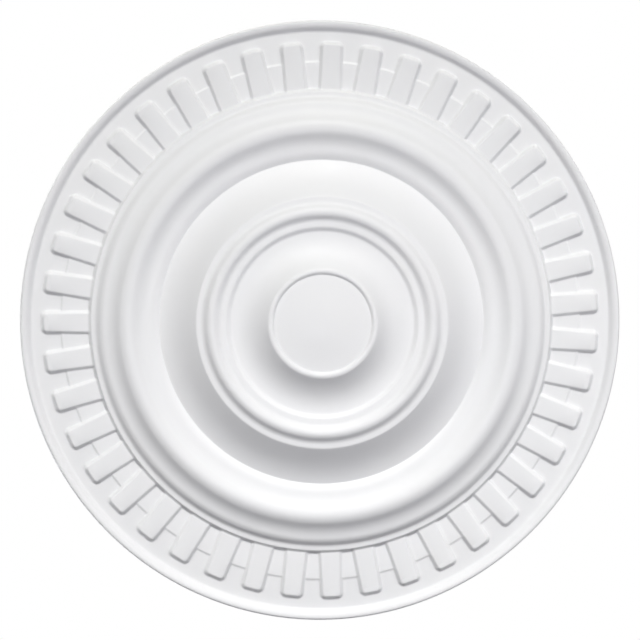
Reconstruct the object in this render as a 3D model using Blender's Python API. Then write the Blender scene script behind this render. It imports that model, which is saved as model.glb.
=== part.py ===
"""Round moulded ceiling rose with a ring of dentil blocks.

One solid, cast in one piece. Its flat back lies in the plane Z = 0 and bears on the ceiling,
and its moulded face looks down, towards -Z. The origin is the centre of the back.

The face is one section turned about Z. Radii grow from the centre out. Every moulding has its
own width and rise, so the rose's radius is the sum of the widths.
"""

import math

import bmesh
import bpy
from mathutils import Matrix, Vector

MM = 0.001

# Thickness of the plain field inside the rim, from the back to its face
FIELD_THICKNESS = 9.0 * MM

# Centre disc: a small level pad, a soft shoulder and a very shallow cone
PAD_RADIUS = 8.0 * MM
PAD_SHOULDER_WIDTH = 11.5 * MM
DISC_CONE_WIDTH = 28.1 * MM
DISC_CONE_ANGLE = math.radians(5.2)

# Lip round the disc, and the cove that falls away outside it
LIP_WIDTH = 3.4 * MM
LIP_RISE = 1.9 * MM
INNER_EDGE_WIDTH = 3.5 * MM
INNER_TOP_ANGLE = math.radians(41.0)
INNER_WALL_WIDTH = 13.4 * MM
INNER_WALL_ANGLE = math.radians(28.3)
INNER_HOLLOW_WIDTH = 18.2 * MM
INNER_COVE_FLAT = 2.5 * MM

# Step and roll of the ring round the inner cove
STEP_WIDTH = 7.0 * MM
STEP_RISE = 3.0 * MM
STEP_FLAT = 2.8 * MM
ROLL_RISE_WIDTH = 10.3 * MM
ROLL_RISE = 4.3 * MM
ROLL_FALL_WIDTH = 11.5 * MM
ROLL_FALL = 4.8 * MM
ROLL_EDGE_FLAT = 2.3 * MM

# Great cove: a rounded edge, a straight fall and a hollow, down to a crease
COVE_EDGE_WIDTH = 2.2 * MM
COVE_ANGLE = math.radians(35.3)
COVE_STRAIGHT_WIDTH = 14.0 * MM
COVE_HOLLOW_WIDTH = 22.9 * MM
COVE_END_ANGLE = math.radians(18.0)

# Inner face of the bank: a shoulder at the crease, a hollow and a round up to the crown
SHOULDER_START_ANGLE = math.radians(37.0)
SHOULDER_WIDTH = 9.9 * MM
SHOULDER_END_ANGLE = math.radians(6.3)
BANK_HOLLOW_WIDTH = 12.8 * MM
BANK_ANGLE = math.radians(36.5)
BANK_ROUND_WIDTH = 8.4 * MM

# Outer face of the bank: a round and a hollow, then a steep little quirk and the collar
CROWN_ROUND_WIDTH = 9.3 * MM
CROWN_ANGLE = math.radians(40.0)
CROWN_HOLLOW_WIDTH = 13.2 * MM
CROWN_END_ANGLE = math.radians(5.2)
QUIRK_ROUND_WIDTH = 7.1 * MM
QUIRK_ANGLE = math.radians(50.5)
QUIRK_HOLLOW_WIDTH = 4.2 * MM
COLLAR_WIDTH = 2.1 * MM
COLLAR_ROUND_WIDTH = 1.5 * MM
COLLAR_WALL_WIDTH = 2.8 * MM
COLLAR_WALL_ANGLE = math.radians(54.0)

# Dentil course: a low band that tilts up to a small step, then the plain field
BAND_WIDTH = 25.8 * MM
BAND_RISE = 1.0 * MM
BAND_STEP_WIDTH = 1.8 * MM
FIELD_WIDTH = 27.0 * MM

# Rim bead and its rounded outer edge
RIM_RISE_WIDTH = 10.0 * MM
RIM_RISE = 4.8 * MM
RIM_FOOT_SHARE = 0.35
RIM_EDGE_RADIUS = 2.5 * MM

# Dentil blocks: parallel sides, drafted walls, tops that tilt up away from the centre
BLOCK_COUNT = 43
BLOCK_WIDTH = 23.2 * MM
BLOCK_LENGTH = 51.8 * MM
BLOCK_INNER_HEIGHT = 2.2 * MM
BLOCK_OUTER_HEIGHT = 4.4 * MM
BLOCK_DRAFT = 3.0 * MM
BLOCK_CORNER_RADIUS = 6.0 * MM
BLOCK_ROOT = 2.0 * MM

# How far the collar stands above the blocks' inner ends
COLLAR_ABOVE_BLOCKS = 2.6 * MM

# Adhesive grooves in the back, each with sloping sides
GROOVE_RADII = (105.0 * MM, 215.0 * MM)
GROOVE_WIDTH = 10.0 * MM
GROOVE_FLOOR_WIDTH = 7.0 * MM
GROOVE_DEPTH = 2.0 * MM

# Fineness of the faceted solid
INNER_SEGMENTS = BLOCK_COUNT
OUTER_SEGMENTS = 2 * BLOCK_COUNT
TURN_PER_FACET = math.radians(26.0)
CORNER_FACETS = 2
SHARP_ANGLE = math.radians(30.0)

BODY_COLOUR = (0.84, 0.845, 0.86, 1.0)
BODY_ROUGHNESS = 0.5


class Section:
    """Half section of the face: (radius, height) points drawn from the centre out."""

    def __init__(self):
        self.points = [(0.0, 0.0)]

    def end(self):
        return self.points[-1]

    def line(self, width, rise=0.0):
        radius, height = self.end()
        self.points.append((radius + width, height + rise))

    def slope(self, width, angle):
        self.line(width, width * math.tan(angle))

    def arc(self, width, start_angle, end_angle):
        """Circular arc across width. An angle is a slope, positive where the face rises outwards."""
        radius, height = self.end()
        bend = width / (math.sin(end_angle) - math.sin(start_angle))
        facets = max(2, math.ceil(abs(end_angle - start_angle) / TURN_PER_FACET))
        for step in range(1, facets + 1):
            angle = start_angle + (end_angle - start_angle) * step / facets
            across = bend * (math.sin(angle) - math.sin(start_angle))
            up = bend * (math.cos(start_angle) - math.cos(angle))
            self.points.append((radius + across, height + up))

    def ogee(self, width, rise, share=0.5):
        """Two arcs, level at both ends, that meet at a share of the width."""
        angle = 2.0 * math.atan2(rise, width)
        self.arc(width * share, 0.0, angle)
        self.arc(width * (1.0 - share), angle, 0.0)


def draw_centre(section):
    section.line(PAD_RADIUS)
    section.arc(PAD_SHOULDER_WIDTH, 0.0, -DISC_CONE_ANGLE)
    section.slope(DISC_CONE_WIDTH, -DISC_CONE_ANGLE)
    section.arc(LIP_WIDTH, 2.0 * math.atan2(LIP_RISE, LIP_WIDTH), 0.0)
    section.arc(INNER_EDGE_WIDTH, 0.0, -INNER_TOP_ANGLE)
    section.arc(INNER_WALL_WIDTH, -INNER_TOP_ANGLE, -INNER_WALL_ANGLE)
    section.arc(INNER_HOLLOW_WIDTH, -INNER_WALL_ANGLE, 0.0)
    section.line(INNER_COVE_FLAT)


def draw_ring(section):
    section.ogee(STEP_WIDTH, STEP_RISE)
    section.line(STEP_FLAT)
    section.ogee(ROLL_RISE_WIDTH, ROLL_RISE)
    section.ogee(ROLL_FALL_WIDTH, -ROLL_FALL)
    section.line(ROLL_EDGE_FLAT)


def draw_great_cove(section):
    section.arc(COVE_EDGE_WIDTH, 0.0, -COVE_ANGLE)
    section.slope(COVE_STRAIGHT_WIDTH, -COVE_ANGLE)
    section.arc(COVE_HOLLOW_WIDTH, -COVE_ANGLE, -COVE_END_ANGLE)


def draw_bank(section):
    section.arc(SHOULDER_WIDTH, SHOULDER_START_ANGLE, SHOULDER_END_ANGLE)
    section.arc(BANK_HOLLOW_WIDTH, SHOULDER_END_ANGLE, BANK_ANGLE)
    section.arc(BANK_ROUND_WIDTH, BANK_ANGLE, 0.0)
    section.arc(CROWN_ROUND_WIDTH, 0.0, -CROWN_ANGLE)
    section.arc(CROWN_HOLLOW_WIDTH, -CROWN_ANGLE, -CROWN_END_ANGLE)
    section.arc(QUIRK_ROUND_WIDTH, -CROWN_END_ANGLE, -QUIRK_ANGLE)
    section.arc(QUIRK_HOLLOW_WIDTH, -QUIRK_ANGLE, 0.0)
    section.line(COLLAR_WIDTH)


def draw_border(section):
    """Dentil band, field and rim. The collar falls to the band, whose foot is level with the field."""
    collar_height = section.end()[1]
    band_foot = collar_height - BLOCK_INNER_HEIGHT - COLLAR_ABOVE_BLOCKS
    section.arc(COLLAR_ROUND_WIDTH, 0.0, -COLLAR_WALL_ANGLE)
    section.line(COLLAR_WALL_WIDTH, band_foot - section.end()[1])
    section.line(BAND_WIDTH, BAND_RISE)
    section.line(BAND_STEP_WIDTH, -BAND_RISE)
    section.line(FIELD_WIDTH)
    section.ogee(RIM_RISE_WIDTH, RIM_RISE, RIM_FOOT_SHARE)
    radius, height = section.end()
    for step in range(1, CORNER_FACETS + 1):
        turn = math.radians(90.0) * step / CORNER_FACETS
        across = RIM_EDGE_RADIUS * math.sin(turn)
        down = RIM_EDGE_RADIUS * (1.0 - math.cos(turn))
        section.points.append((radius + across, height - down))


def face_outline():
    """Points of the face as (radius, depth below the back), and the radius of the blocks' inner ends."""
    section = Section()
    draw_centre(section)
    draw_ring(section)
    draw_great_cove(section)
    inner_points = len(section.points)
    draw_bank(section)
    block_start = section.end()[0] - COLLAR_WIDTH / 2.0
    draw_border(section)
    rim_top = section.end()[1] + RIM_EDGE_RADIUS
    datum = FIELD_THICKNESS + RIM_RISE - rim_top
    outline = [(radius, height + datum) for radius, height in section.points]
    return outline, inner_points, block_start


def back_outline(outer_radius):
    """Points of the back as (radius, depth), from the edge to the centre, with the grooves."""
    points = [(outer_radius, 0.0)]
    for middle in sorted(GROOVE_RADII, reverse=True):
        for half_width, depth in (
            (GROOVE_WIDTH / 2.0, 0.0),
            (GROOVE_FLOOR_WIDTH / 2.0, GROOVE_DEPTH),
            (-GROOVE_FLOOR_WIDTH / 2.0, GROOVE_DEPTH),
            (-GROOVE_WIDTH / 2.0, 0.0),
        ):
            points.append((middle + half_width, depth))
    return points


def add_ring(mesh, radius, depth, segments):
    turns = (math.tau * index / segments for index in range(segments))
    return [mesh.verts.new((radius * math.cos(turn), radius * math.sin(turn), -depth)) for turn in turns]


def join_rings(mesh, first, second):
    """Faces between two rings, where the finer has as many corners as the coarser, or twice as many."""
    coarse, fine = sorted((first, second), key=len)
    ratio = len(fine) // len(coarse)
    for index, corner in enumerate(coarse):
        following = coarse[(index + 1) % len(coarse)]
        start = fine[index * ratio]
        end = fine[(index + 1) * ratio % len(fine)]
        if ratio == 1:
            mesh.faces.new((corner, start, end, following))
        else:
            middle = fine[index * ratio + 1]
            mesh.faces.new((corner, start, middle))
            mesh.faces.new((corner, middle, following))
            mesh.faces.new((following, middle, end))


def turned_body():
    """The rose without its blocks, and the radius where the blocks start, inside the collar."""
    outline, inner_points, block_start = face_outline()
    mesh = bmesh.new()
    rings = []
    for index, (radius, depth) in enumerate(outline[1:], start=1):
        segments = INNER_SEGMENTS if index < inner_points else OUTER_SEGMENTS
        rings.append(add_ring(mesh, radius, depth, segments))
    for index, (radius, depth) in enumerate(back_outline(outline[-1][0])):
        segments = OUTER_SEGMENTS if index == 0 else INNER_SEGMENTS
        rings.append(add_ring(mesh, radius, depth, segments))
    mesh.faces.new(rings[0])
    for near, far in zip(rings, rings[1:]):
        join_rings(mesh, near, far)
    mesh.faces.new(rings[-1])
    bmesh.ops.recalc_face_normals(mesh, faces=mesh.faces)
    return mesh, block_start


def block_plan():
    """Plan of one block along +X from its inner end: points on the field, with outward directions."""
    half_width = BLOCK_WIDTH / 2.0
    right_side = [(0.0, -half_width, -math.pi / 2.0)]
    for step in range(CORNER_FACETS + 1):
        turn = -math.pi / 2.0 * (1.0 - step / CORNER_FACETS)
        along = BLOCK_LENGTH - BLOCK_CORNER_RADIUS * (1.0 - math.cos(turn))
        across = -half_width + BLOCK_CORNER_RADIUS * (1.0 + math.sin(turn))
        right_side.append((along, across, turn))
    left_side = [(along, -across, -turn) for along, across, turn in reversed(right_side)]
    return right_side + left_side


def block_course(block_start):
    """All the blocks, each sunk a little way into the field."""
    mesh = bmesh.new()
    wall_slope = BLOCK_DRAFT / BLOCK_OUTER_HEIGHT
    for index in range(BLOCK_COUNT):
        turned = Matrix.Rotation(math.tau * index / BLOCK_COUNT, 4, "Z")
        root = []
        top = []
        for along, across, turn in block_plan():
            share = along / BLOCK_LENGTH
            height = BLOCK_INNER_HEIGHT + (BLOCK_OUTER_HEIGHT - BLOCK_INNER_HEIGHT) * share
            for ring, level in ((root, -BLOCK_ROOT), (top, height)):
                x = block_start + along - math.cos(turn) * wall_slope * level
                y = across - math.sin(turn) * wall_slope * level
                ring.append(mesh.verts.new(turned @ Vector((x, y, -FIELD_THICKNESS - level))))
        mesh.faces.new(root)
        mesh.faces.new(top)
        join_rings(mesh, root, top)
    bmesh.ops.recalc_face_normals(mesh, faces=mesh.faces)
    return mesh


def add_object(name, mesh):
    data = bpy.data.meshes.new(name)
    mesh.to_mesh(data)
    mesh.free()
    made = bpy.data.objects.new(name, data)
    bpy.context.scene.collection.objects.link(made)
    return made


def primed_white():
    """Factory-primed white over rigid foam: a satin coat with no metal in it."""
    material = bpy.data.materials.new("primed_white")
    material.use_nodes = True
    shader = material.node_tree.nodes["Principled BSDF"]
    shader.inputs["Base Color"].default_value = BODY_COLOUR
    shader.inputs["Roughness"].default_value = BODY_ROUGHNESS
    shader.inputs["Metallic"].default_value = 0.0
    return material


def main():
    for old in list(bpy.data.objects):
        bpy.data.objects.remove(old, do_unlink=True)
    body, block_start = turned_body()
    rose = add_object("ceiling_rose", body)
    blocks = add_object("dentil_blocks", block_course(block_start))
    blocks.hide_render = True
    blocks.display_type = "WIRE"
    union = rose.modifiers.new("blocks", "BOOLEAN")
    union.operation = "UNION"
    union.object = blocks
    rose.data.materials.append(primed_white())
    rose.data.shade_smooth()
    rose.data.set_sharp_from_angle(angle=SHARP_ANGLE)


main()
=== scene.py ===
"""Looks of a moulded ceiling rose, seen from below, with its flat back up against the ceiling."""

import math

import bpy
import numpy as np
from mathutils import Matrix, Vector


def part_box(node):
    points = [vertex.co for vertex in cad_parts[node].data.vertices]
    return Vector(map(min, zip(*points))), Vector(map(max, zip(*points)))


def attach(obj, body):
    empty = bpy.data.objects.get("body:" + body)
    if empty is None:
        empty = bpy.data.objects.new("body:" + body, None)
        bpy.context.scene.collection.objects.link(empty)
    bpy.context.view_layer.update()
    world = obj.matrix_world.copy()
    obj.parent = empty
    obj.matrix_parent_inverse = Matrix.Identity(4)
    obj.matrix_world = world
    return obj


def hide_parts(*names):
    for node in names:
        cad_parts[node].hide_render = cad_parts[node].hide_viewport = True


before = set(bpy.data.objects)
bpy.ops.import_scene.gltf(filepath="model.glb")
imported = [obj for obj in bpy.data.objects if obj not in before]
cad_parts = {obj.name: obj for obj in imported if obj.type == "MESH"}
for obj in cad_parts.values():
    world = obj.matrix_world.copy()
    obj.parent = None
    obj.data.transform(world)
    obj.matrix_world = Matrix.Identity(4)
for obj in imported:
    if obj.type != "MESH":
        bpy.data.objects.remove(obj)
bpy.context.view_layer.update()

MM = 0.001

# Section of the face, from the centre out: widths, rises and slopes as on the solid
FIELD_THICKNESS = 9.0 * MM
PAD_RADIUS = 8.0 * MM
PAD_SHOULDER_WIDTH = 11.5 * MM
DISC_CONE_WIDTH = 28.1 * MM
DISC_CONE_ANGLE = math.radians(5.2)
LIP_WIDTH = 3.4 * MM
LIP_RISE = 1.9 * MM
INNER_EDGE_WIDTH = 3.5 * MM
INNER_TOP_ANGLE = math.radians(41.0)
INNER_WALL_WIDTH = 13.4 * MM
INNER_WALL_ANGLE = math.radians(28.3)
INNER_HOLLOW_WIDTH = 18.2 * MM
INNER_COVE_FLAT = 2.5 * MM
STEP_WIDTH = 7.0 * MM
STEP_RISE = 3.0 * MM
STEP_FLAT = 2.8 * MM
ROLL_RISE_WIDTH = 10.3 * MM
ROLL_RISE = 4.3 * MM
ROLL_FALL_WIDTH = 11.5 * MM
ROLL_FALL = 4.8 * MM
ROLL_EDGE_FLAT = 2.3 * MM
COVE_EDGE_WIDTH = 2.2 * MM
COVE_ANGLE = math.radians(35.3)
COVE_STRAIGHT_WIDTH = 14.0 * MM
COVE_HOLLOW_WIDTH = 22.9 * MM
COVE_END_ANGLE = math.radians(18.0)
SHOULDER_START_ANGLE = math.radians(37.0)
SHOULDER_WIDTH = 9.9 * MM
SHOULDER_END_ANGLE = math.radians(6.3)
BANK_HOLLOW_WIDTH = 12.8 * MM
BANK_ANGLE = math.radians(36.5)
BANK_ROUND_WIDTH = 8.4 * MM
CROWN_ROUND_WIDTH = 9.3 * MM
CROWN_ANGLE = math.radians(40.0)
CROWN_HOLLOW_WIDTH = 13.2 * MM
CROWN_END_ANGLE = math.radians(5.2)
QUIRK_ROUND_WIDTH = 7.1 * MM
QUIRK_ANGLE = math.radians(50.5)
QUIRK_HOLLOW_WIDTH = 4.2 * MM
COLLAR_WIDTH = 2.1 * MM
COLLAR_ROUND_WIDTH = 1.5 * MM
COLLAR_WALL_WIDTH = 2.8 * MM
COLLAR_WALL_ANGLE = math.radians(54.0)
COLLAR_ABOVE_BLOCKS = 2.6 * MM
BAND_WIDTH = 25.8 * MM
BAND_RISE = 1.0 * MM
BAND_STEP_WIDTH = 1.8 * MM
FIELD_WIDTH = 27.0 * MM
RIM_RISE_WIDTH = 10.0 * MM
RIM_RISE = 4.8 * MM
RIM_FOOT_SHARE = 0.35
RIM_EDGE_RADIUS = 2.5 * MM

# Dentil blocks
BLOCK_COUNT = 43
BLOCK_PITCH = math.tau / BLOCK_COUNT
BLOCK_WIDTH = 23.2 * MM
BLOCK_LENGTH = 51.8 * MM
BLOCK_INNER_HEIGHT = 2.2 * MM
BLOCK_OUTER_HEIGHT = 4.4 * MM
BLOCK_DRAFT = 3.0 * MM
BLOCK_CORNER_RADIUS = 6.0 * MM

# Back
GROOVE_RADII = (215.0 * MM, 105.0 * MM)
GROOVE_WIDTH = 10.0 * MM
GROOVE_FLOOR_WIDTH = 7.0 * MM
GROOVE_DEPTH = 2.0 * MM

# Softness that casting and primer give to every edge
EDGE_SOFTNESS = 0.5 * MM
BLOCK_EDGE_SOFTNESS = 2.2 * MM
BLOCK_FOOT_SOFTNESS = 1.9 * MM
BACK_EDGE_SOFTNESS = 0.6 * MM

# Fineness of the mesh
SECTION_STEP = 0.1 * MM
ARC_TURN = math.radians(2.0)
LEAST_ARC_FACETS = 4
RING_TURN = math.radians(6.5)
RING_SPACING = 9.0 * MM
INNER_SEGMENTS = 4 * BLOCK_COUNT
OUTER_SEGMENTS = 5 * BLOCK_COUNT
RIM_EDGE_FACETS = 6
BACK_EDGE_FACETS = 3

# Rings that cross the blocks: where they start and end, and where their corners lie on each block
COURSE_LEAD = 0.5 * MM
END_ZONE = 8.0 * MM
END_MARGIN = 1.8 * MM
END_RINGS = 20
SIDE_OFFSETS = np.array([-1.4, -0.7, -0.1, 0.4, 0.9, 1.5, 2.1, 2.6, 3.2, 4.0]) * MM
CORNER_OFFSETS = np.array([-1.4, -0.7, -0.1, 0.4, 0.9, 1.4, 2.0, 2.6, 3.2, 4.0, 5.2, 6.8]) * MM
GAP_SHARES = np.array([0.33, 0.67])

# Primer on the face and the side
PRIMER_SHADES = ((0.838, 0.840, 0.853, 1.0), (0.851, 0.851, 0.860, 1.0))
PRIMER_SPECK = (0.80, 0.80, 0.80, 1.0)
PRIMER_ROUGHNESS = (0.47, 0.58)
RIPPLE_HEIGHT = 0.10 * MM
GRAIN_HEIGHT = 0.012 * MM

# Bare skin on the back, and the depths and radii between which it gives way to the primer
SKIN_SHADES = ((0.80, 0.79, 0.75, 1.0), (0.83, 0.82, 0.79, 1.0))
SKIN_PIT = (0.70, 0.69, 0.65, 1.0)
SKIN_ROUGHNESS = (0.72, 0.85)
SKIN_DEPTHS = (4.5 * MM, 3.5 * MM)
SKIN_RADII = (299.2 * MM, 298.2 * MM)
PIT_HEIGHT = 0.12 * MM

# Studio
WHITE = (1.0, 1.0, 1.0)
KEY_COLOUR = (1.0, 1.0, 0.960)
KEY_SPREAD = math.radians(16.0)
TOP_SPREAD = math.radians(30.0)
ABOVE_SPREAD = math.radians(36.0)
ABOVE_RISE = 0.66
FILL_COLOUR = (0.995, 0.991, 1.036)
SOFTBOX_WIDTH = 0.5
AMBIENT_STRENGTH = 0.02
FLOOR_COLOUR = (0.93, 0.93, 0.93)
FLOOR_ROUGHNESS = 0.9
FLOOR_HALF_WIDTH = 12.0
FLOOR_DEPTH = 2.4
FLOOR_FADE = (2.0, 10.0)
DISPLAY_GAMMA = 0.8

# Camera: nearly straight on, with the rose as wide in the frame as in the photo
CAMERA_DISTANCE = 1.4
CAMERA_LEAN = (0.031, 0.033)
CAMERA_AIM = (1.6 * MM, 2.1 * MM, -FIELD_THICKNESS)
ROSE_WIDTH = 0.6
FRAME_PIXELS = 640
ROSE_PIXELS = 599.0
SENSOR_WIDTH = 36.0


class Section:
    """Half section of the face: (radius, height) points drawn from the centre out."""

    def __init__(self):
        self.points = [(0.0, 0.0)]

    def end(self):
        return self.points[-1]

    def line(self, width, rise=0.0):
        radius, height = self.end()
        self.points.append((radius + width, height + rise))

    def slope(self, width, angle):
        self.line(width, width * math.tan(angle))

    def arc(self, width, start_angle, end_angle):
        """Arc across width, between two slopes, positive where the face rises outwards."""
        radius, height = self.end()
        bend = width / (math.sin(end_angle) - math.sin(start_angle))
        facets = max(LEAST_ARC_FACETS, math.ceil(abs(end_angle - start_angle) / ARC_TURN))
        for step in range(1, facets + 1):
            angle = start_angle + (end_angle - start_angle) * step / facets
            across = bend * (math.sin(angle) - math.sin(start_angle))
            up = bend * (math.cos(start_angle) - math.cos(angle))
            self.points.append((radius + across, height + up))

    def ogee(self, width, rise, share=0.5):
        """Two arcs, level at both ends, that meet at a share of the width."""
        angle = 2.0 * math.atan2(rise, width)
        self.arc(width * share, 0.0, angle)
        self.arc(width * (1.0 - share), angle, 0.0)


def face_section():
    """(radius, depth) points out to the crest of the rim, and the collar's outer radius."""
    section = Section()
    section.line(PAD_RADIUS)
    section.arc(PAD_SHOULDER_WIDTH, 0.0, -DISC_CONE_ANGLE)
    section.slope(DISC_CONE_WIDTH, -DISC_CONE_ANGLE)
    section.arc(LIP_WIDTH, 2.0 * math.atan2(LIP_RISE, LIP_WIDTH), 0.0)
    section.arc(INNER_EDGE_WIDTH, 0.0, -INNER_TOP_ANGLE)
    section.arc(INNER_WALL_WIDTH, -INNER_TOP_ANGLE, -INNER_WALL_ANGLE)
    section.arc(INNER_HOLLOW_WIDTH, -INNER_WALL_ANGLE, 0.0)
    section.line(INNER_COVE_FLAT)

    section.ogee(STEP_WIDTH, STEP_RISE)
    section.line(STEP_FLAT)
    section.ogee(ROLL_RISE_WIDTH, ROLL_RISE)
    section.ogee(ROLL_FALL_WIDTH, -ROLL_FALL)
    section.line(ROLL_EDGE_FLAT)

    section.arc(COVE_EDGE_WIDTH, 0.0, -COVE_ANGLE)
    section.slope(COVE_STRAIGHT_WIDTH, -COVE_ANGLE)
    section.arc(COVE_HOLLOW_WIDTH, -COVE_ANGLE, -COVE_END_ANGLE)

    section.arc(SHOULDER_WIDTH, SHOULDER_START_ANGLE, SHOULDER_END_ANGLE)
    section.arc(BANK_HOLLOW_WIDTH, SHOULDER_END_ANGLE, BANK_ANGLE)
    section.arc(BANK_ROUND_WIDTH, BANK_ANGLE, 0.0)
    section.arc(CROWN_ROUND_WIDTH, 0.0, -CROWN_ANGLE)
    section.arc(CROWN_HOLLOW_WIDTH, -CROWN_ANGLE, -CROWN_END_ANGLE)
    section.arc(QUIRK_ROUND_WIDTH, -CROWN_END_ANGLE, -QUIRK_ANGLE)
    section.arc(QUIRK_HOLLOW_WIDTH, -QUIRK_ANGLE, 0.0)
    section.line(COLLAR_WIDTH)

    collar_radius, collar_height = section.end()
    band_foot = collar_height - BLOCK_INNER_HEIGHT - COLLAR_ABOVE_BLOCKS
    section.arc(COLLAR_ROUND_WIDTH, 0.0, -COLLAR_WALL_ANGLE)
    section.line(COLLAR_WALL_WIDTH, band_foot - section.end()[1])
    section.line(BAND_WIDTH, BAND_RISE)
    section.line(BAND_STEP_WIDTH, -BAND_RISE)
    section.line(FIELD_WIDTH)
    field_height = section.end()[1]
    section.ogee(RIM_RISE_WIDTH, RIM_RISE, RIM_FOOT_SHARE)
    points = np.array(section.points)
    points[:, 1] += FIELD_THICKNESS - field_height
    return points, collar_radius


class Face:
    """Depth of the face below the back, at any radius, with every edge softened."""

    def __init__(self, greatest_depth):
        points, self.collar_radius = face_section()
        self.crest_radius = points[-1, 0]
        reach = round(4.0 * EDGE_SOFTNESS / SECTION_STEP)
        spread = np.arange(-reach, reach + 1) * SECTION_STEP
        weights = np.exp(-0.5 * (spread / EDGE_SOFTNESS) ** 2)
        steps = round(self.crest_radius / SECTION_STEP)
        self.radii = np.arange(-reach, steps + reach + 1) * SECTION_STEP
        sharp = np.interp(np.abs(self.radii), points[:, 0], points[:, 1])
        padded = np.pad(sharp, reach, mode="edge")
        soft = np.convolve(padded, weights / weights.sum(), mode="valid")
        self.depths = np.minimum(soft, greatest_depth)

    def depth(self, radius):
        return np.interp(radius, self.radii, self.depths)

    def ring_radii(self, start, end):
        """Radii from start to end, closest together where the face bends most."""
        radii = np.arange(start, end, SECTION_STEP)
        angles = np.arctan(np.gradient(self.depth(radii), SECTION_STEP))
        turned = np.concatenate([[0.0], np.cumsum(np.abs(np.diff(angles)))])
        effort = turned / RING_TURN + (radii - start) / RING_SPACING
        count = max(2, math.ceil(effort[-1]))
        return np.interp(np.linspace(0.0, effort[-1], count + 1), effort, radii)


def smooth_least(first, second, softness):
    """Lesser of two heights, with the edge where they cross rounded off."""
    share = np.clip(0.5 + 0.5 * (second - first) / softness, 0.0, 1.0)
    return second + (first - second) * share - softness * share * (1.0 - share)


def smooth_most(first, second, softness):
    """Greater of two heights, with a round in the hollow where they cross."""
    return -smooth_least(-first, -second, softness)


def block_height(along, across):
    """Height of one block above the field, below the field's level outside its plan."""
    past_side = np.abs(across) - (BLOCK_WIDTH / 2.0 - BLOCK_CORNER_RADIUS)
    past_end = along - (BLOCK_LENGTH - BLOCK_CORNER_RADIUS)
    outside = np.hypot(np.maximum(past_side, 0.0), np.maximum(past_end, 0.0))
    inside = np.minimum(np.maximum(past_side, past_end), 0.0)
    from_edge = BLOCK_CORNER_RADIUS - outside - inside
    wall = from_edge * BLOCK_OUTER_HEIGHT / BLOCK_DRAFT
    top = BLOCK_INNER_HEIGHT + (BLOCK_OUTER_HEIGHT - BLOCK_INNER_HEIGHT) * along / BLOCK_LENGTH
    return smooth_least(wall, top, BLOCK_EDGE_SOFTNESS)


class Shell:
    """Closed mesh made of rings of corners, each joined to the one before."""

    def __init__(self):
        self.corners = []
        self.faces = []
        self.last = None

    def ring(self, radius, depths, angles):
        ring = (len(self.corners), angles)
        for angle, depth in zip(angles, np.broadcast_to(depths, angles.shape)):
            self.corners.append((radius * math.cos(angle), radius * math.sin(angle), -depth))
        if self.last is not None:
            self.join(self.last, ring)
        self.last = ring

    def join(self, first, second):
        """Quads between rings with as many corners, triangles between rings that differ."""
        start, angles = first
        next_start, next_angles = second
        count, next_count = len(angles), len(next_angles)
        if count == next_count:
            for index in range(count):
                other = (index + 1) % count
                quad = (start + index, start + other, next_start + other, next_start + index)
                self.faces.append(quad)
            return
        turns = np.append(angles[1:], angles[0] + math.tau)
        next_turns = np.append(next_angles[1:], next_angles[0] + math.tau)
        here = there = 0
        while here < count or there < next_count:
            a = start + here % count
            b = next_start + there % next_count
            if there == next_count or (here < count and turns[here] <= next_turns[there]):
                here += 1
                self.faces.append((a, start + here % count, b))
            else:
                there += 1
                self.faces.append((a, next_start + there % next_count, b))

    def cap(self, depth, flip=False):
        """Fan from the last ring to a corner at the centre."""
        start, angles = self.last
        middle = len(self.corners)
        self.corners.append((0.0, 0.0, -depth))
        for index in range(len(angles)):
            other = (index + 1) % len(angles)
            fan = (start + index, start + other, middle)
            self.faces.append(fan[::-1] if flip else fan)


def even_angles(segments):
    return np.arange(segments) * math.tau / segments


def block_angles(radius, offsets):
    """Angles round a ring that follow the blocks' parallel sides, at offsets in from each side."""
    sides = np.arcsin((BLOCK_WIDTH / 2.0 - offsets) / radius)
    gap = BLOCK_PITCH - 2.0 * sides[0]
    one = np.concatenate([-sides, [0.0], sides[::-1], sides[0] + gap * GAP_SHARES])
    return (one[None, :] + np.arange(BLOCK_COUNT)[:, None] * BLOCK_PITCH).ravel()


def course_depth(face, block_start, radius, angles):
    """Depth of the face round a ring that crosses the blocks."""
    local = (angles + BLOCK_PITCH / 2.0) % BLOCK_PITCH - BLOCK_PITCH / 2.0
    along = radius * np.cos(local) - block_start
    across = radius * np.sin(local)
    base = np.full_like(angles, face.depth(radius))
    return smooth_most(base, FIELD_THICKNESS + block_height(along, across), BLOCK_FOOT_SOFTNESS)


def add_course(shell, face):
    """Rings from the collar to just past the blocks' outer ends. Returns the last one's radius."""
    block_start = face.collar_radius - COLLAR_WIDTH / 2.0
    block_end = block_start + BLOCK_LENGTH
    end_zone_start = block_end - END_ZONE
    course_end = block_end + END_MARGIN
    run_radii = face.ring_radii(face.collar_radius - COURSE_LEAD, end_zone_start)
    end_radii = np.linspace(end_zone_start, course_end, END_RINGS + 1)[1:]
    for radii, offsets in ((run_radii, SIDE_OFFSETS), (end_radii, CORNER_OFFSETS)):
        for radius in radii:
            angles = block_angles(radius, offsets)
            shell.ring(radius, course_depth(face, block_start, radius, angles), angles)
    return course_end


def half_groove():
    """Outer half of a groove, its corners rounded, as (offset from its middle, depth) points."""
    half_mouth = GROOVE_WIDTH / 2.0
    half_floor = GROOVE_FLOOR_WIDTH / 2.0
    soft = BACK_EDGE_SOFTNESS
    return [
        (half_mouth + soft, 0.0),
        (half_mouth + 0.2 * soft, 0.06 * soft),
        (half_mouth - 0.3 * soft, 0.5 * soft),
        (half_floor + 0.4 * soft, GROOVE_DEPTH - 0.6 * soft),
        (half_floor - 0.7 * soft, GROOVE_DEPTH),
    ]


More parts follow.
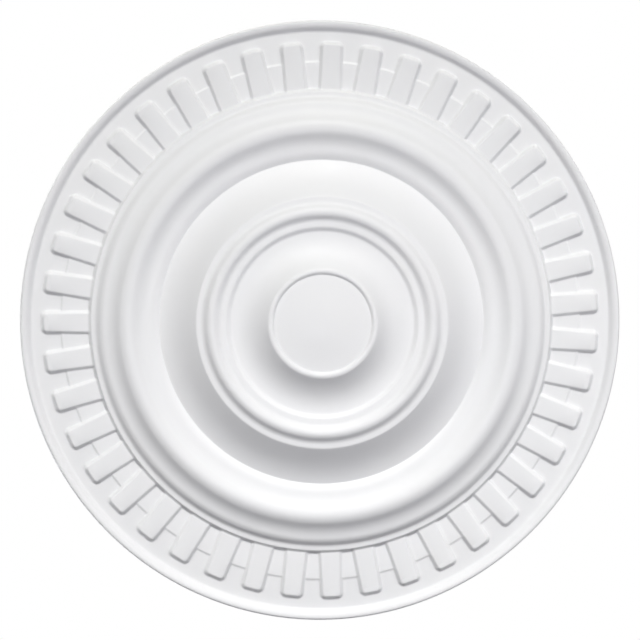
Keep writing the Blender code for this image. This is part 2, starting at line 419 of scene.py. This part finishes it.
def add_edge_and_back(shell, face, rim_radius):
    """Rounded rim edge, the side, and the back with its grooves."""
    outer_angles = even_angles(OUTER_SEGMENTS)
    inner_angles = even_angles(INNER_SEGMENTS)
    quarter = math.radians(90.0)
    centre_depth = face.depth(face.crest_radius) - RIM_EDGE_RADIUS
    for step in range(RIM_EDGE_FACETS + 1):
        turn = quarter * step / RIM_EDGE_FACETS
        radius = face.crest_radius + (rim_radius - face.crest_radius) * math.sin(turn)
        shell.ring(radius, centre_depth + RIM_EDGE_RADIUS * math.cos(turn), outer_angles)
    for step in range(BACK_EDGE_FACETS + 1):
        turn = quarter * step / BACK_EDGE_FACETS
        radius = rim_radius - BACK_EDGE_SOFTNESS * (1.0 - math.cos(turn))
        shell.ring(radius, BACK_EDGE_SOFTNESS * (1.0 - math.sin(turn)), outer_angles)
    outer_half = half_groove()
    inner_half = [(-offset, depth) for offset, depth in reversed(outer_half)]
    for middle in GROOVE_RADII:
        for offset, depth in outer_half + inner_half:
            shell.ring(middle + offset, depth, inner_angles)
    shell.cap(0.0)


def make_rose():
    low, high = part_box("ceiling_rose")
    rim_radius = min(high[0], high[1], -low[0], -low[1])
    face = Face(-low[2])
    shell = Shell()
    inner_angles = even_angles(INNER_SEGMENTS)
    outer_angles = even_angles(OUTER_SEGMENTS)
    shell.ring(PAD_RADIUS, face.depth(PAD_RADIUS), inner_angles)
    shell.cap(face.depth(0.0), flip=True)
    for radius in face.ring_radii(PAD_RADIUS, face.collar_radius - COURSE_LEAD)[1:-1]:
        shell.ring(radius, face.depth(radius), inner_angles)
    course_end = add_course(shell, face)
    for radius in face.ring_radii(course_end, face.crest_radius)[1:-1]:
        shell.ring(radius, face.depth(radius), outer_angles)
    add_edge_and_back(shell, face, rim_radius)
    mesh = bpy.data.meshes.new("rose")
    mesh.from_pydata(shell.corners, [], shell.faces)
    mesh.shade_smooth()
    mesh.validate()
    rose = bpy.data.objects.new("rose", mesh)
    bpy.context.scene.collection.objects.link(rose)
    return rose


class Nodes:
    """Shorthand for building one material's nodes."""

    def __init__(self, name):
        self.material = bpy.data.materials.new(name)
        self.material.use_nodes = True
        self.tree = self.material.node_tree
        self.shader = self.tree.nodes["Principled BSDF"]

    def new(self, kind):
        return self.tree.nodes.new("ShaderNode" + kind)

    def link(self, output, socket):
        self.tree.links.new(output, socket)

    def noise(self, coordinates, scale, detail):
        node = self.new("TexNoise")
        node.inputs["Scale"].default_value = scale
        node.inputs["Detail"].default_value = detail
        self.link(coordinates, node.inputs["Vector"])
        return node.outputs["Fac"]

    def spread(self, value, low, high, to_low=0.0, to_high=1.0):
        """Value mapped from one range to another, and held at both ends."""
        node = self.new("MapRange")
        node.inputs["From Min"].default_value = low
        node.inputs["From Max"].default_value = high
        node.inputs["To Min"].default_value = to_low
        node.inputs["To Max"].default_value = to_high
        self.link(value, node.inputs["Value"])
        return node.outputs["Result"]

    def times(self, first, second):
        node = self.new("Math")
        node.operation = "MULTIPLY"
        self.link(first, node.inputs[0])
        self.link(second, node.inputs[1])
        return node.outputs["Value"]

    def length(self, vector):
        node = self.new("VectorMath")
        node.operation = "LENGTH"
        self.link(vector, node.inputs[0])
        return node.outputs["Value"]

    def mix(self, kind, share, first, second):
        """Mix of two colours or two numbers, each a fixed value or another node's output."""
        node = self.new("Mix")
        node.data_type = {"Color": "RGBA", "Float": "FLOAT"}[kind]
        sockets = {socket.identifier: socket for socket in node.inputs}
        self.link(share, sockets["Factor_Float"])
        for letter, value in (("A", first), ("B", second)):
            socket = sockets[letter + "_" + kind]
            if isinstance(value, bpy.types.NodeSocket):
                self.link(value, socket)
            else:
                socket.default_value = value
        return {socket.identifier: socket for socket in node.outputs}["Result_" + kind]

    def bump(self, height, distance, below=None):
        node = self.new("Bump")
        node.inputs["Distance"].default_value = distance
        self.link(height, node.inputs["Height"])
        if below is not None:
            self.link(below, node.inputs["Normal"])
        return node.outputs["Normal"]


def back_share(nodes, where):
    """1 on the back, 0 on the face and the side."""
    parts = nodes.new("SeparateXYZ")
    nodes.link(where, parts.inputs["Vector"])
    flat = nodes.new("VectorMath")
    flat.operation = "MULTIPLY"
    flat.inputs[1].default_value = (1.0, 1.0, 0.0)
    nodes.link(where, flat.inputs[0])
    high_up = nodes.spread(parts.outputs["Z"], -SKIN_DEPTHS[0], -SKIN_DEPTHS[1])
    inside_edge = nodes.spread(nodes.length(flat.outputs["Vector"]), *SKIN_RADII)
    return nodes.times(high_up, inside_edge)


def primed_white():
    """Satin primer on the face and the side, bare foam skin on the back."""
    nodes = Nodes("primed_white")
    where = nodes.new("TexCoord").outputs["Object"]
    back = back_share(nodes, where)
    cloud = nodes.noise(where, scale=9.0, detail=3.0)
    speck = nodes.noise(where, scale=420.0, detail=2.0)
    ripple = nodes.noise(where, scale=38.0, detail=2.0)
    grain = nodes.noise(where, scale=800.0, detail=3.0)
    cells = nodes.noise(where, scale=1500.0, detail=1.0)

    cloudy = nodes.spread(cloud, 0.3, 0.7)
    specked = nodes.spread(speck, 0.68, 0.8, 0.0, 0.5)
    celled = nodes.spread(cells, 0.6, 0.75, 0.0, 0.6)
    primer = nodes.mix("Color", cloudy, *PRIMER_SHADES)
    primer = nodes.mix("Color", specked, primer, PRIMER_SPECK)
    skin = nodes.mix("Color", cloudy, *SKIN_SHADES)
    skin = nodes.mix("Color", celled, skin, SKIN_PIT)
    nodes.link(nodes.mix("Color", back, primer, skin), nodes.shader.inputs["Base Color"])

    satin = nodes.spread(ripple, 0.3, 0.7, *PRIMER_ROUGHNESS)
    rough = nodes.spread(cells, 0.3, 0.7, *SKIN_ROUGHNESS)
    nodes.link(nodes.mix("Float", back, satin, rough), nodes.shader.inputs["Roughness"])

    wavy = nodes.bump(ripple, RIPPLE_HEIGHT)
    grainy = nodes.bump(grain, GRAIN_HEIGHT, wavy)
    pitted = nodes.bump(nodes.times(cells, back), PIT_HEIGHT, grainy)
    nodes.link(pitted, nodes.shader.inputs["Normal"])
    return nodes.material


def pale_floor():
    """Matt pale floor that fades to the backdrop's white well before its edge."""
    nodes = Nodes("floor")
    nodes.shader.inputs["Base Color"].default_value = FLOOR_COLOUR + (1.0,)
    nodes.shader.inputs["Roughness"].default_value = FLOOR_ROUGHNESS
    white = nodes.new("Emission")
    white.inputs["Color"].default_value = WHITE + (1.0,)
    white.inputs["Strength"].default_value = 1.0
    where = nodes.new("TexCoord").outputs["Object"]
    mix = nodes.new("MixShader")
    nodes.link(nodes.spread(nodes.length(where), *FLOOR_FADE), mix.inputs["Fac"])
    nodes.link(nodes.shader.outputs["BSDF"], mix.inputs[1])
    nodes.link(white.outputs["Emission"], mix.inputs[2])
    nodes.link(mix.outputs["Shader"], nodes.tree.nodes["Material Output"].inputs["Surface"])
    return nodes.material


def set_stage():
    """Floor below the rose, seen by the camera but neither shading the rose nor lighting it."""
    half = FLOOR_HALF_WIDTH
    corners = [(-half, -half, 0.0), (half, -half, 0.0), (half, half, 0.0), (-half, half, 0.0)]
    mesh = bpy.data.meshes.new("floor")
    mesh.from_pydata(corners, [], [(0, 1, 2, 3)])
    mesh.materials.append(pale_floor())
    floor = bpy.data.objects.new("floor", mesh)
    floor.location.z = -FLOOR_DEPTH
    floor.visible_shadow = False
    floor.visible_diffuse = False
    floor.visible_glossy = False
    bpy.context.scene.collection.objects.link(floor)


def add_light(name, kind, towards, distance, colour, energy):
    """Light that shines on the rose from the given direction."""
    data = bpy.data.lights.new(name, kind)
    data.color = colour
    data.energy = energy
    light = bpy.data.objects.new(name, data)
    towards = Vector(towards).normalized()
    light.location = towards * distance
    light.rotation_mode = "QUATERNION"
    light.rotation_quaternion = towards.to_track_quat("Z", "Y")
    bpy.context.scene.collection.objects.link(light)
    return light


def add_sun(name, towards, strength, spread, colour):
    sun = add_light(name, "SUN", towards, 0.0, colour, strength)
    sun.data.angle = spread


def add_softbox(name, towards, distance, power):
    softbox = add_light(name, "AREA", towards, distance, FILL_COLOUR, power)
    softbox.data.shape = "DISK"
    softbox.data.size = SOFTBOX_WIDTH
    softbox.visible_camera = False


def set_light():
    """Key light from the photo's top, light from above on the back, and soft fill on the face."""
    add_sun("key", (0.0, 0.7, -0.7), 1.69, KEY_SPREAD, KEY_COLOUR)
    add_sun("key_left", (0.5, 0.5, -0.7), 0.37, KEY_SPREAD, KEY_COLOUR)
    add_sun("key_right", (-0.5, 0.5, -0.7), 0.21, KEY_SPREAD, KEY_COLOUR)
    add_sun("top", (0.3, -0.2, 1.0), 0.7, TOP_SPREAD, WHITE)
    for x, y, strength in ((1.0, 1.0, 1.7), (-1.0, 1.0, 0.7), (-1.0, -1.0, 0.9), (1.0, -1.0, 1.2)):
        add_sun("above", (x, y, ABOVE_RISE), strength, ABOVE_SPREAD, WHITE)
    add_softbox("front", (0.0, -0.1, -1.0), distance=1.3, power=5.05)
    add_softbox("right", (-0.8, 0.0, -0.6), distance=1.6, power=4.6)
    add_softbox("left", (0.87, 0.0, -0.5), distance=1.4, power=1.5)


def set_world():
    """White backdrop for the camera, and faint even light for everything else."""
    world = bpy.data.worlds.new("studio")
    world.use_nodes = True
    tree = world.node_tree
    ambient = tree.nodes["Background"]
    ambient.inputs["Color"].default_value = WHITE + (1.0,)
    ambient.inputs["Strength"].default_value = AMBIENT_STRENGTH
    backdrop = tree.nodes.new("ShaderNodeBackground")
    backdrop.inputs["Color"].default_value = WHITE + (1.0,)
    path = tree.nodes.new("ShaderNodeLightPath")
    mix = tree.nodes.new("ShaderNodeMixShader")
    tree.links.new(path.outputs["Is Camera Ray"], mix.inputs["Fac"])
    tree.links.new(ambient.outputs["Background"], mix.inputs[1])
    tree.links.new(backdrop.outputs["Background"], mix.inputs[2])
    tree.links.new(mix.outputs["Shader"], tree.nodes["World Output"].inputs["Surface"])
    bpy.context.scene.world = world
    bpy.context.scene.view_settings.view_transform = "Standard"
    bpy.context.scene.view_settings.gamma = DISPLAY_GAMMA


def set_camera():
    data = bpy.data.cameras.new("camera")
    data.sensor_width = SENSOR_WIDTH
    data.lens = SENSOR_WIDTH * CAMERA_DISTANCE / (ROSE_WIDTH * FRAME_PIXELS / ROSE_PIXELS)
    camera = bpy.data.objects.new("camera", data)
    back = Vector((CAMERA_LEAN[0], CAMERA_LEAN[1], -1.0)).normalized()
    right = Vector((0.0, 1.0, 0.0)).cross(back).normalized()
    axes = Matrix((right, back.cross(right), back)).transposed()
    place = Vector(CAMERA_AIM) + back * CAMERA_DISTANCE
    camera.matrix_world = Matrix.Translation(place) @ axes.to_4x4()
    bpy.context.scene.collection.objects.link(camera)
    bpy.context.scene.camera = camera


rose = make_rose()
rose.data.materials.append(primed_white())
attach(rose, "root")
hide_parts("ceiling_rose")
set_stage()
set_light()
set_world()
set_camera()
